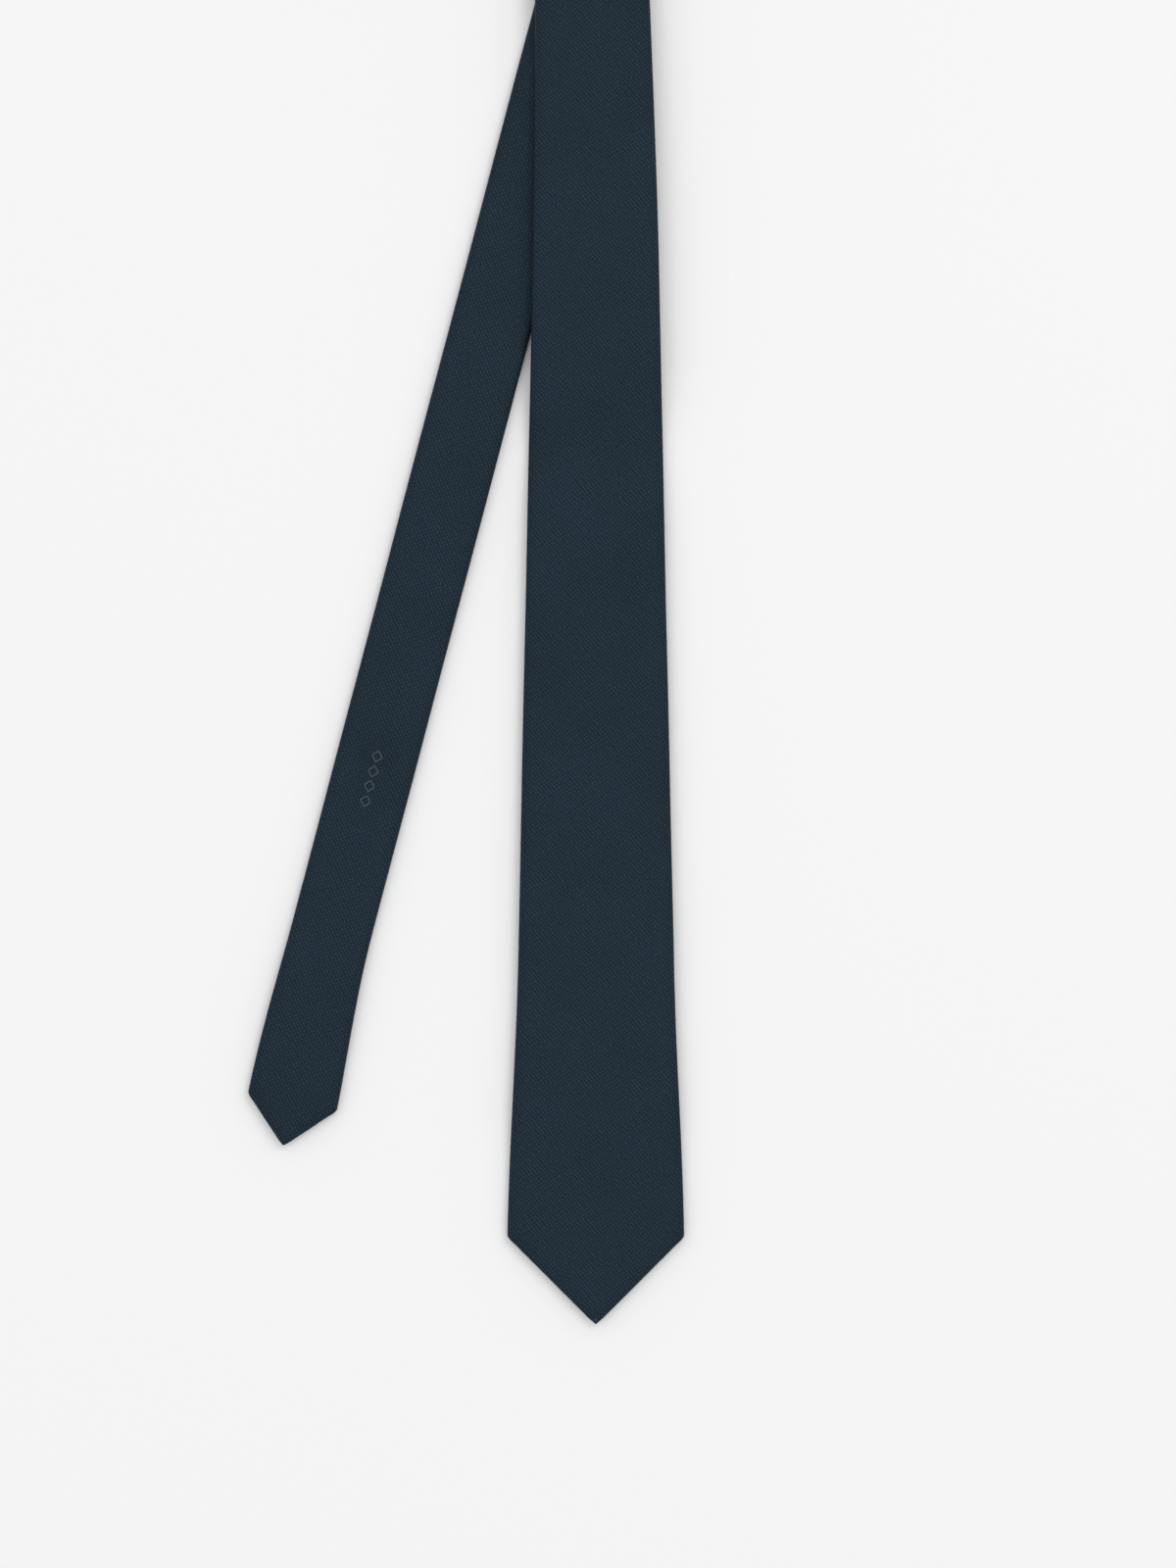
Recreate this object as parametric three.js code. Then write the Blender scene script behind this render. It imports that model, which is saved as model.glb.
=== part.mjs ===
// A necktie laid out on a table in its worn shape: the wide front blade lies over the narrow tail,
// and the neck stands on its edge as a loop above them.
//
// Every piece is a flat strip of cloth. It is folded round the width of the tie, and then laid along
// one centre line that runs from the front tip, round the neck, to the tail tip.
// Along the tie a place is given by its distance s from the front tip. In the cross-section, u is the
// distance to the left of the centre line and w is the height above the back of the tie.

import * as THREE from 'three';

// ---- Lengths along the tie, mm ----

const frontLength = 677.5;
const neckLength = 180;
const tailLength = 622.5;
const tailFoldAt = 262;
const hingeGap = 0.3;

// ---- Widths, mm ----

const frontWidth = 70;
const frontFlare = 3.5;
const frontFlareLength = 110;
const frontJoinWidth = 39;
const tailWidth = 35.7;
const tailFlare = 3.7;
const tailFlareLength = 70;

// ---- Layers, mm ----

const clothThickness = 0.5;
const interliningThickness = 1.3;
const tippingThickness = 0.3;
const layerGap = 0.15;

// ---- Back seam, mm ----

const lapWidth = 8;
const lapRamp = 4;
const pointLapShare = 0.4;
const threadThickness = 0.3;
const frontTackAt = 102;
const tailTackAt = 60;
const frontHemWidth = 14;
const tailHemWidth = 8;
const tackWidth = 8;
const tackLength = 2;
const tackThickness = 0.35;

// ---- Tipping, keeper loop and labels on the back, mm ----

const tippingInset = 2;
const tippingTuck = 22;
const keeperAt = 200;
const keeperWidth = 13;
const keeperSpan = 48;
const keeperThickness = 0.6;
const keeperSlack = 0.35;
const labelGap = 29.5;
const labelLength = 24;
const labelWidth = 46;
const careLabelGap = 30;
const careLabelLength = 26;
const careLabelWidth = 18;
const labelThickness = 0.25;
const foldMargin = 24;

// ---- Figure woven into the tail, mm ----

const motifAt = 150;
const motifCount = 4;
const motifPitch = 6.1;
const motifWidth = 4.4;
const motifLength = 5.3;
const motifBridge = 0.8;
const motifThickness = 0.3;

// ---- How it lies, mm and degrees ----

const forkAngle = 14.8;
const frontBend = 1.2;
const frontBendLength = 132;
const frontBow = 24;
const tailBow = 22;
const tailHook = 3.2;
const tailHookStart = 105;
const tailHookEnd = 15;
const neckReach = 144.6;
const bowReach = 124.6;
const bowLength = 120;
const frontLeanLength = 118;
const tailLeanLength = 58;
const crossingGap = 1.5;
const crossingRamp = 48;
const backRise = 1.3;
const backRiseRamp = 32;
const frontTackMargin = 10;
const tailTackMargin = 4;

// ---- Mesh steps, mm ----

const flatStep = 20;
const neckStep = 8;
const leanStep = 5;
const cornerSteps = 2;
const overlapStep = 2;
const rowFade = 2.3;

// ---- Sizes that follow from those above ----

const totalLength = frontLength + neckLength + tailLength;
const neckStart = frontLength;
const neckEnd = frontLength + neckLength;
const neckMiddle = frontLength + neckLength / 2;
const tailFold = totalLength - tailFoldAt;
const labelAt = keeperAt + keeperWidth / 2 + labelGap;
const careLabelAt = labelAt + labelLength + careLabelGap;
const frontFoldAt = careLabelAt + careLabelLength + foldMargin;
const upperFlapBase = clothThickness + layerGap;
const tippingBase = upperFlapBase + clothThickness + layerGap;
const interliningBase = tippingBase + tippingThickness + layerGap;
const frontPanelBase = interliningBase + interliningThickness + layerGap;
const thickness = frontPanelBase + clothThickness;
const edgeRadius = thickness / 2;

function ease(t) {
  const c = Math.min(Math.max(t, 0), 1);
  return c * c * (3 - 2 * c);
}

function mix(a, b, t) {
  return a + (b - a) * t;
}

// Half of the tie's width at s: both blades flare near their points.
function halfWidth(s) {
  const d = totalLength - s;
  const frontTaper = (s - frontWidth / 2) / (frontLength - frontWidth / 2);
  const tailBody = tailWidth - tailFlare;
  const frontBody = mix(frontWidth - frontFlare, frontJoinWidth, Math.max(frontTaper, 0));
  const neckBody = mix(frontJoinWidth, tailBody, (s - neckStart) / neckLength);
  let width = tailBody;
  if (s < neckStart) width = frontBody;
  else if (s < neckEnd) width = neckBody;
  width += frontFlare * ease(1 - (s - frontWidth / 2) / frontFlareLength);
  width += tailFlare * ease(1 - (d - tailWidth / 2) / tailFlareLength);
  return width / 2;
}

// ---- The centre line ----

const frontBowStart = neckMiddle - bowReach - bowLength;

// Each bend turns the heading to the left by so many degrees, eased in and out between two places.
const bends = [
  { from: frontBowStart - frontBendLength, to: frontBowStart, turn: frontBend },
  { from: frontBowStart, to: neckMiddle - bowReach, turn: frontBow },
  {
    from: neckMiddle - neckReach,
    to: neckMiddle + neckReach,
    turn: -(180 + forkAngle + frontBend + frontBow + tailBow),
  },
  { from: neckMiddle + bowReach, to: neckMiddle + bowReach + bowLength, turn: tailBow },
  { from: totalLength - tailHookStart, to: totalLength - tailHookEnd, turn: tailHook },
];

function heading(s) {
  let turned = 0;
  for (const bend of bends) {
    turned += bend.turn * ease((s - bend.from) / (bend.to - bend.from));
  }
  return THREE.MathUtils.degToRad(turned);
}

// The line is walked in steps of 1 mm from the front tip, heading along +Y.
const line = [new THREE.Vector2(0, 0)];
for (let s = 0; s < totalLength; s += 1) {
  const direction = heading(s + 0.5);
  const last = line[line.length - 1];
  line.push(new THREE.Vector2(last.x - Math.sin(direction), last.y + Math.cos(direction)));
}

function place(s) {
  const i = Math.min(Math.max(Math.floor(s), 0), line.length - 2);
  return line[i].clone().lerp(line[i + 1], s - i);
}

// The stretch of the front blade that lies over the tail.
const overlap = { from: frontLength, to: 0 };
for (let s = 0; s < frontLength; s += overlapStep) {
  for (let t = neckEnd; t < totalLength; t += overlapStep) {
    if (place(s).distanceTo(place(t)) < halfWidth(s) + halfWidth(t)) {
      overlap.from = Math.min(overlap.from, s);
      overlap.to = Math.max(overlap.to, s);
    }
  }
}

// The neck stands on its outer edge. On either side of it the tie leans over until it lies flat.
function lean(s) {
  const front = ease((s - (neckStart - frontLeanLength)) / frontLeanLength);
  const tail = ease((s - neckEnd) / tailLeanLength);
  return (front - tail) * Math.PI / 2;
}

// How far the tie lies above the table: over the tail, and over what is sewn to its back.
function lift(s) {
  const d = totalLength - s;
  const overTail = (thickness + crossingGap)
    * ease((s - (overlap.from - crossingRamp)) / crossingRamp)
    * ease(1 - (s - overlap.to) / crossingRamp);
  const overKeeper = backRise
    * ease((s - (frontTackAt - frontTackMargin - backRiseRamp)) / backRiseRamp)
    * ease(1 - (s - (frontFoldAt - foldMargin)) / backRiseRamp);
  const overTack = (tackThickness + layerGap)
    * ease((d - (tailTackAt - tailTackMargin - backRiseRamp)) / backRiseRamp)
    * ease(1 - (d - (tailTackAt + tailTackMargin)) / backRiseRamp);
  return overTail + overKeeper + overTack;
}

// A point of the cross-section, laid on the table at s.
function lay(s, u, w) {
  const centre = place(s);
  const direction = heading(s);
  const left = new THREE.Vector3(-Math.cos(direction), -Math.sin(direction), 0);
  const up = new THREE.Vector3(0, 0, 1);
  const angle = lean(s);
  const across = left.clone().multiplyScalar(Math.cos(angle)).addScaledVector(up, -Math.sin(angle));
  const front = up.clone().multiplyScalar(Math.cos(angle)).addScaledVector(left, Math.sin(angle));
  const height = (halfWidth(s) - edgeRadius) * Math.sin(angle) + edgeRadius + lift(s);
  return new THREE.Vector3(centre.x, centre.y, height)
    .addScaledVector(across, u)
    .addScaledVector(front, w - edgeRadius);
}

// Cross rows follow the 90-degree point at each tip, and run straight across further up.
function alongRow(row, u) {
  const fade = rowFade * frontWidth / 2;
  const front = ease(1 - row / fade);
  const tail = ease(1 - (totalLength - row) / fade);
  return row + Math.abs(u) * (front - tail);
}

// ---- Strips ----

function stations(from, to, step) {
  const count = Math.ceil((to - from) / step);
  return Array.from({ length: count + 1 }, (_, i) => mix(from, to, i / count));
}

// A strip of cloth: columns run from right to left and rows along the tie. profile gives the u and w
// of a column on the strip's back (0) or front (1) side at s.
function strip(name, material, rows, columns, profile) {
  const geometry = new THREE.BoxGeometry(columns - 1, 1, rows.length - 1, columns - 1, 1, rows.length - 1);
  const points = geometry.attributes.position;
  for (let i = 0; i < points.count; i += 1) {
    const column = Math.round(points.getX(i) + (columns - 1) / 2);
    const side = Math.round(points.getY(i) + 0.5);
    const row = rows[Math.round(points.getZ(i) + (rows.length - 1) / 2)];
    const first = profile(row, column, side);
    const second = profile(alongRow(row, first.u), column, side);
    const point = lay(alongRow(row, second.u), second.u, second.w);
    points.setXYZ(i, point.x, point.y, point.z);
  }
  // Both sides are split along the same diagonals, so that a twisted strip keeps its thickness.
  const corners = geometry.index.array;
  const back = geometry.groups[3];
  for (let i = back.start; i < back.start + back.count; i += 6) {
    corners.set([corners[i], corners[i + 1], corners[i + 4], corners[i], corners[i + 4], corners[i + 5]], i);
  }
  geometry.computeVertexNormals();
  const mesh = new THREE.Mesh(geometry, material);
  mesh.name = name;
  return mesh;
}

function finish(colour, roughness) {
  return new THREE.MeshStandardMaterial({ color: colour, roughness, metalness: 0 });
}

// How far the back seam is closed at s: 0 at the points, 1 above the bar tacks.
function closure(s) {
  const front = (s - frontHemWidth) / (frontTackAt - frontHemWidth);
  const tail = (totalLength - s - tailHemWidth) / (tailTackAt - tailHemWidth);
  return Math.min(Math.max(Math.min(front, tail), 0), 1);
}

// The shell is folded round both edges to the back. Its right flap lies lowest, and its left flap
// steps up and tucks in over it, so that they lap along the middle of the back.
const foldColumns = cornerSteps + 1;
const panelStart = 2 + foldColumns;
const leftFoldStart = panelStart + 3;
const leftFlapStart = leftFoldStart + foldColumns;
const shellColumns = leftFlapStart + 3;

function shellProfile(s, column, side) {
  const flat = halfWidth(s) - edgeRadius;
  const closed = closure(s);
  const hem = s < neckMiddle ? frontHemWidth : tailHemWidth;
  const opening = halfWidth(s) - hem;
  const inset = side === 1 ? 0 : clothThickness;
  const radius = edgeRadius - inset;
  if (column === 0) return { u: mix(-opening, lapWidth / 2 - 1, closed), w: inset };
  if (column === 1) return { u: mix(-opening - 1, -lapWidth / 2, closed), w: inset };
  if (column < panelStart) {
    const angle = Math.PI * (column - 2) / cornerSteps;
    return { u: -flat - radius * Math.sin(angle), w: edgeRadius - radius * Math.cos(angle) };
  }
  if (column < leftFoldStart) return { u: flat * (column - panelStart - 1) / 2, w: thickness - inset };
  if (column < leftFlapStart) {
    const angle = Math.PI * (column - leftFoldStart) / cornerSteps;
    return { u: flat + radius * Math.sin(angle), w: edgeRadius + radius * Math.cos(angle) };
  }
  const edge = mix(opening, -lapWidth / 2, closed);
  const share = mix(pointLapShare, 1, closed);
  const raised = inset + upperFlapBase * ease(closed);
  if (column === leftFlapStart) return { u: edge + (lapWidth + lapRamp) * share, w: inset };
  if (column === leftFlapStart + 1) return { u: edge + lapWidth * share, w: raised };
  return { u: edge, w: raised };
}

// A flat layer inside the shell, as wide as the flat between its two folds.
const layerColumns = 5;

function layerProfile(base, depth) {
  return (s, column, side) => ({
    u: (halfWidth(s) - edgeRadius) * (2 * column / (layerColumns - 1) - 1),
    w: base + depth * side,
  });
}

// A patch of fixed width that lies against the tie at a given height.
function patchProfile(width, base, depth, columns, bulge) {
  return (s, column, side) => {
    const t = column / (columns - 1);
    const out = bulge * ease(4 * Math.min(t, 1 - t));
    return { u: mix(-width / 2, width / 2, t), w: base - out + depth * side };
  };
}

// ---- Cloths ----

const cloths = {
  shell: () => finish(0x25313b, 0.6),
  interlining: () => finish(0xd9d3c4, 0.95),
  tipping: () => finish(0x1b2530, 0.35),
  thread: () => finish(0x1c262f, 0.55),
  label: () => finish(0x2a333d, 0.5),
  careLabel: () => finish(0xe6e5e0, 0.5),
  motif: () => finish(0x475960, 0.45),
};

const tie = new THREE.Group();
tie.name = 'necktie';

const frontLower = stations(0, frontFoldAt - hingeGap / 2, flatStep);
const frontUpper = [
  ...stations(frontFoldAt + hingeGap / 2, neckStart - frontLeanLength, flatStep).slice(0, -1),
  ...stations(neckStart - frontLeanLength, neckStart - hingeGap / 2, leanStep),
];
const neck = stations(neckStart + hingeGap / 2, neckEnd - hingeGap / 2, neckStep);
const tailUpper = [
  ...stations(neckEnd + hingeGap / 2, neckEnd + tailLeanLength, leanStep).slice(0, -1),
  ...stations(neckEnd + tailLeanLength, tailFold - hingeGap / 2, flatStep),
];
const tailLower = stations(tailFold + hingeGap / 2, totalLength, flatStep);

const stretches = [
  { body: 'front', part: '_lower', rows: frontLower },
  { body: 'front', part: '_upper', rows: frontUpper },
  { body: 'neck', part: '', rows: neck },
  { body: 'tail', part: '_upper', rows: tailUpper },
  { body: 'tail', part: '_lower', rows: tailLower },
];

// Rows of a stretch that lie between two places, with a row at each end.
function between(rows, from, to) {
  const low = Math.max(from, rows[0]);
  const high = Math.min(to, rows[rows.length - 1]);
  const inner = rows.filter((row) => row > low + 1 && row < high - 1);
  return [low, ...inner, high];
}

// ---- Shell, interlining and the thread of the back seam, one length for each stretch ----

const threadU = lapWidth / 2 - 1 + layerGap;
const interliningInset = 3;
const threadStart = frontTackAt + tackLength;
const threadEnd = totalLength - tailTackAt - tackLength;

for (const { body, part, rows } of stretches) {
  tie.add(strip(`${body}_shell${part}`, cloths.shell(), rows, shellColumns, shellProfile));

  const fillRows = between(rows, interliningInset, totalLength - interliningInset);
  const fill = layerProfile(interliningBase, interliningThickness);
  tie.add(strip(`${body}_interlining${part}`, cloths.interlining(), fillRows, layerColumns, fill));

  const threadProfile = (s, column, side) => ({
    u: threadU + threadThickness * column,
    w: layerGap / 2 + threadThickness * side,
  });
  const threadRows = between(rows, threadStart, threadEnd);
  tie.add(strip(`${body}_slip_stitch${part}`, cloths.thread(), threadRows, 2, threadProfile));
}

// ---- Tipping behind the two points ----

const tipping = layerProfile(tippingBase, tippingThickness);
const frontTippingRows = between(frontLower, tippingInset, frontTackAt + tippingTuck);
const tailTippingRows = between(tailLower, totalLength - tailTackAt - tippingTuck, totalLength - tippingInset);
tie.add(strip('front_tipping', cloths.tipping(), frontTippingRows, layerColumns, tipping));
tie.add(strip('tail_tipping', cloths.tipping(), tailTippingRows, layerColumns, tipping));

// ---- Bar tacks ----

function patch(name, material, at, length, width, base, depth, columns, bulge) {
  const rows = stations(at, at + length, flatStep);
  return strip(name, material, rows, columns, patchProfile(width, base, depth, columns, bulge));
}

const tackBase = -layerGap - tackThickness;
const tailTack = totalLength - tailTackAt - tackLength;
tie.add(patch('front_bar_tack', cloths.thread(), frontTackAt, tackLength, tackWidth, tackBase, tackThickness, 3, 0));
tie.add(patch('tail_bar_tack', cloths.thread(), tailTack, tackLength, tackWidth, tackBase, tackThickness, 3, 0));

// ---- Keeper loop, sewn down at both ends, and the labels ----

const keeperBase = -layerGap - keeperThickness;
const keeper = patchProfile(keeperSpan, keeperBase, keeperThickness, 9, keeperSlack);
const keeperRows = [keeperAt - keeperWidth / 2, keeperAt + keeperWidth / 2];
tie.add(strip('keeper_loop', cloths.shell(), keeperRows, 9, keeper));

const labelBase = -layerGap - labelThickness;
const labelRows = [labelAt, labelLength];
tie.add(patch('maker_label', cloths.label(), ...labelRows, labelWidth, labelBase, labelThickness, 3, 0));
const careRows = [careLabelAt, careLabelLength];
tie.add(patch('care_label', cloths.careLabel(), ...careRows, careLabelWidth, labelBase, labelThickness, 3, 0));

// ---- The figure on the tail: small lozenges in a row along it ----

function motifShape() {
  const outline = new THREE.Shape();
  const first = -(motifCount - 1) / 2 * motifPitch;
  const side = (sign) => {
    for (let i = 0; i < motifCount; i += 1) {
      const centre = sign * (first + i * motifPitch);
      outline.lineTo(centre - sign * motifLength / 2, sign * motifBridge / 2);
      outline.lineTo(centre, sign * motifWidth / 2);
      outline.lineTo(centre + sign * motifLength / 2, sign * motifBridge / 2);
    }
  };
  outline.moveTo(first - motifLength / 2, -motifBridge / 2);
  side(1);
  side(-1);
  return outline;
}

const motifGeometry = new THREE.ExtrudeGeometry(motifShape(), { depth: motifThickness, bevelEnabled: false });
const motifPoints = motifGeometry.attributes.position;
for (let i = 0; i < motifPoints.count; i += 1) {
  const s = totalLength - motifAt + motifPoints.getX(i);
  const w = thickness + layerGap + motifPoints.getZ(i);
  const point = lay(s, motifPoints.getY(i), w);
  motifPoints.setXYZ(i, point.x, point.y, point.z);
}
const motif = new THREE.Mesh(motifGeometry, cloths.motif());
motif.name = 'tail_motif';
tie.add(motif);

// ---- The tie stands with the middle of its underside at the origin ----

const bounds = new THREE.Box3().setFromObject(tie, true);
const middle = bounds.getCenter(new THREE.Vector3());
for (const mesh of tie.children) {
  mesh.geometry.translate(-middle.x, -middle.y, -bounds.min.z);
}

export default tie;
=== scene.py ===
import math
import bmesh
import bpy
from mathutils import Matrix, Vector, noise


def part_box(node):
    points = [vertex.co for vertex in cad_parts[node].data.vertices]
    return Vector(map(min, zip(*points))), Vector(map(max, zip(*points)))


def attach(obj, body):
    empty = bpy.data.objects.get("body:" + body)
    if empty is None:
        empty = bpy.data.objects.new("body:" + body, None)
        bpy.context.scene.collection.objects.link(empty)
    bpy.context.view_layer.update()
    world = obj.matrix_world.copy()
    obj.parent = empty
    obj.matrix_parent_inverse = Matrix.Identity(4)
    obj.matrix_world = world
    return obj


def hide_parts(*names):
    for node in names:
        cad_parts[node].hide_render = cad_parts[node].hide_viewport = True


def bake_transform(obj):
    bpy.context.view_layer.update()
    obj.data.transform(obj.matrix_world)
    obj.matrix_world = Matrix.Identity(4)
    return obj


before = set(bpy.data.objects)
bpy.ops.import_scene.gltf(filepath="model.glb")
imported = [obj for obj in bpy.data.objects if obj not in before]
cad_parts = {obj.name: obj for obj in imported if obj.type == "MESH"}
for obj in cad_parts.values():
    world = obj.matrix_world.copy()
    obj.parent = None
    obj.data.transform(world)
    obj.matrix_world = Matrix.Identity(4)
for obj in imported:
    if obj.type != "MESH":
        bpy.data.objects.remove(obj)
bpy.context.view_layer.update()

mm = 0.001


# ==== Table, light and camera =============================================================
# The tie lies on a plain white table, face up. Big soft lamps stand far off round it, so the
# cloth is seen by a broad even light with hardly a shadow, and the camera looks straight down.

def link_object(name, mesh):
    piece = bpy.data.objects.new(name, mesh)
    bpy.context.scene.collection.objects.link(piece)
    return piece


def new_material(name, **values):
    material = bpy.data.materials.new(name)
    material.use_nodes = True
    shader = material.node_tree.nodes["Principled BSDF"]
    for socket, value in values.items():
        shader.inputs[socket.replace("_", " ")].default_value = value
    return material, material.node_tree, shader


def add_node(tree, kind, **settings):
    node = tree.nodes.new(kind)
    for key, value in settings.items():
        if key in node.inputs:
            node.inputs[key].default_value = value
        else:
            setattr(node, key, value)
    return node


def sum_of(tree, operation, *parts):
    """A math node with its inputs linked or set, in order."""
    node = add_node(tree, "ShaderNodeMath", operation=operation)
    for socket, part in zip(node.inputs, parts):
        if isinstance(part, bpy.types.NodeSocket):
            tree.links.new(part, socket)
        else:
            socket.default_value = part
    return node.outputs[0]


def colour_ramp(tree, factor, *stops):
    ramp = tree.nodes.new("ShaderNodeValToRGB")
    while len(ramp.color_ramp.elements) < len(stops):
        ramp.color_ramp.elements.new(0.5)
    for element, (position, colour) in zip(ramp.color_ramp.elements, stops):
        element.position = position
        element.color = (*colour, 1.0)
    tree.links.new(factor, ramp.inputs["Fac"])
    return ramp.outputs["Color"]


table_size = 6.0
table_drop = 0.15 * mm
table_mesh = bmesh.new()
bmesh.ops.create_grid(table_mesh, x_segments=8, y_segments=8, size=table_size / 2)
bmesh.ops.translate(table_mesh, verts=table_mesh.verts, vec=(0.0, 0.0, -table_drop))
table_data = bpy.data.meshes.new("table")
table_mesh.to_mesh(table_data)
table_mesh.free()
table = link_object("table", table_data)
table_paint, table_tree, table_shader = new_material(
    "table_white", Roughness=0.9, Specular_IOR_Level=0.1)
table_grain = add_node(table_tree, "ShaderNodeTexNoise", Scale=3.0, Detail=2.0)
table_tone = colour_ramp(
    table_tree, table_grain.outputs["Fac"],
    (0.3, (0.896, 0.896, 0.896)),
    (0.7, (0.902, 0.902, 0.902)))
table_tree.links.new(table_tone, table_shader.inputs["Base Color"])
table.data.materials.append(table_paint)

sky_strength = 0.89
sky = bpy.data.worlds.new("studio")
bpy.context.scene.world = sky
sky.use_nodes = True
sky.node_tree.nodes["Background"].inputs["Color"].default_value = (1.0, 1.0, 1.0, 1.0)
sky.node_tree.nodes["Background"].inputs["Strength"].default_value = sky_strength


def softbox(name, place, size, power):
    light = bpy.data.lights.new(name, "AREA")
    light.shape = "SQUARE"
    light.size = size
    light.energy = power
    lamp = bpy.data.objects.new(name, light)
    bpy.context.scene.collection.objects.link(lamp)
    lamp.location = place
    lamp.rotation_euler = (-Vector(place)).to_track_quat("-Z", "Y").to_euler()


softbox("upper_right_softbox", place=(1.8, 1.6, 2.6), size=1.6, power=19.0)
softbox("left_softbox", place=(-2.4, -0.4, 2.4), size=2.0, power=6.0)

# The view takes in 622 mm from top to bottom: both points of the tie, and not the neck.
blade_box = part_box("front_shell_lower")
tip_x = (blade_box[0][0] + blade_box[1][0]) / 2
tip_y = blade_box[0][1]
view_height = 622.2 * mm
view_margin = 96.5 * mm
view_left = 3.1 * mm
camera_data = bpy.data.cameras.new("camera")
camera_data.lens = 120.0
camera_data.sensor_width = 36.0
camera_data.clip_end = 20.0
camera = bpy.data.objects.new("camera", camera_data)
bpy.context.scene.collection.objects.link(camera)
camera_height = view_height * camera_data.lens / camera_data.sensor_width
camera.location = (tip_x - view_left, tip_y - view_margin + view_height / 2, camera_height)
bpy.context.scene.camera = camera
bpy.context.scene.view_settings.view_transform = "Standard"


# ==== Front blade =========================================================================
# The wide end is one piece of figured silk cut on the bias. Its sides are rolled round a wool
# strip and lap along the middle of the back, and its point is turned in as a mitred hem.

front_length = 677.5 * mm
neck_length = 180 * mm
tail_length = 622.5 * mm
total_length = front_length + neck_length + tail_length
neck_end = front_length + neck_length
neck_middle = front_length + neck_length / 2
seam_gap = 0.3 * mm

front_width = 70 * mm
front_flare = 3.5 * mm
front_flare_length = 110 * mm
front_join_width = 39 * mm
tail_width = 35.7 * mm
tail_flare = 3.7 * mm
tail_flare_length = 70 * mm

cloth = 0.5 * mm
thickness = 3.7 * mm
edge_radius = thickness / 2
roll = edge_radius - cloth / 2
lap_step = 0.65 * mm
upper_lap = 4 * mm
lower_lap = 3 * mm
lap_ramp = 4 * mm
front_hem = 14 * mm
tail_hem = 8 * mm
front_tack = 102 * mm
tail_tack = 60 * mm


def ease(t):
    t = min(max(t, 0.0), 1.0)
    return t * t * (3 - 2 * t)


def mix(a, b, t):
    return a + (b - a) * t


wander_rate = 14.0
wander_level = 0.37


def wander(s, seed):
    """Smooth random value from -1 to 1 along the tie."""
    return noise.noise(Vector((s * wander_rate, seed, wander_level)))


def half_width(s):
    tail_body = tail_width - tail_flare
    if s < front_length:
        taper = max((s - front_width / 2) / (front_length - front_width / 2), 0.0)
        width = mix(front_width - front_flare, front_join_width, taper)
    elif s < neck_end:
        width = mix(front_join_width, tail_body, (s - front_length) / neck_length)
    else:
        width = tail_body
    width += front_flare * ease(1 - (s - front_width / 2) / front_flare_length)
    width += tail_flare * ease(1 - (total_length - s - tail_width / 2) / tail_flare_length)
    return width / 2


# Bends of the centre line: where each begins and ends, and how far it turns to the left.
fork_angle = 14.8
front_bend = 1.2
front_bend_length = 132 * mm
front_bow = 24
tail_bow = 22
tail_hook = 3.2
tail_hook_start = 105 * mm
tail_hook_end = 15 * mm
bow_reach = 124.6 * mm
bow_length = 120 * mm
neck_reach = 144.6 * mm
front_bow_start = neck_middle - bow_reach - bow_length
bends = (
    (front_bow_start - front_bend_length, front_bow_start, front_bend),
    (front_bow_start, neck_middle - bow_reach, front_bow),
    (neck_middle - neck_reach, neck_middle + neck_reach,
     -(180 + fork_angle + front_bend + front_bow + tail_bow)),
    (neck_middle + bow_reach, neck_middle + bow_reach + bow_length, tail_bow),
    (total_length - tail_hook_start, total_length - tail_hook_end, tail_hook),
)


def heading(s):
    return math.radians(sum(turn * ease((s - start) / (end - start)) for start, end, turn in bends))


line = [Vector((tip_x, tip_y))]
for step in range(int(round(total_length / mm))):
    direction = heading((step + 0.5) * mm)
    line.append(line[-1] + mm * Vector((-math.sin(direction), math.cos(direction))))


def place(s):
    i = min(max(int(s / mm), 0), len(line) - 2)
    return line[i].lerp(line[i + 1], s / mm - i)


crossing_start = 392 * mm
crossing_end = 610 * mm
crossing_gap = 1.5 * mm
crossing_ramp = 48 * mm
front_lean = 118 * mm
tail_lean = 58 * mm
back_rise = 1.3 * mm
back_rise_start = 60 * mm
back_rise_end = 316 * mm
back_ramp = 32 * mm
tack_rise = 0.5 * mm
tack_rise_start = 24 * mm
tack_rise_end = 64 * mm


def lean(s):
    front = ease((s - (front_length - front_lean)) / front_lean)
    return (front - ease((s - neck_end) / tail_lean)) * math.pi / 2


def lift(s):
    d = total_length - s
    over_tail = ease((s - (crossing_start - crossing_ramp)) / crossing_ramp)
    over_tail *= ease(1 - (s - crossing_end) / crossing_ramp)
    over_keeper = ease((s - back_rise_start) / back_ramp) * ease(1 - (s - back_rise_end) / back_ramp)
    over_tack = ease((d - tack_rise_start) / back_ramp) * ease(1 - (d - tack_rise_end) / back_ramp)
    return (thickness + crossing_gap) * over_tail + back_rise * over_keeper + tack_rise * over_tack


def lay(s, r, w):
    """The point r to the right of the centre line and w above the back of the tie."""
    centre = place(s)
    direction = heading(s)
    angle = lean(s)
    right = Vector((math.cos(direction), math.sin(direction), 0.0))
    up = Vector((0.0, 0.0, 1.0))
    across = right * math.cos(angle) + up * math.sin(angle)
    front = up * math.cos(angle) - right * math.sin(angle)
    height = (half_width(s) - edge_radius) * math.sin(angle) + edge_radius + lift(s)
    return Vector((centre.x, centre.y, height)) + across * r + front * (w - edge_radius)


row_fade = 80.5 * mm
row_rounds = 3


def row_slope(row):
    """Rows follow the square point at each tip and run straight across further up."""
    return ease(1 - row / row_fade) - ease(1 - (total_length - row) / row_fade)


def along_row(row, r):
    return row + abs(r) * row_slope(row)


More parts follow.
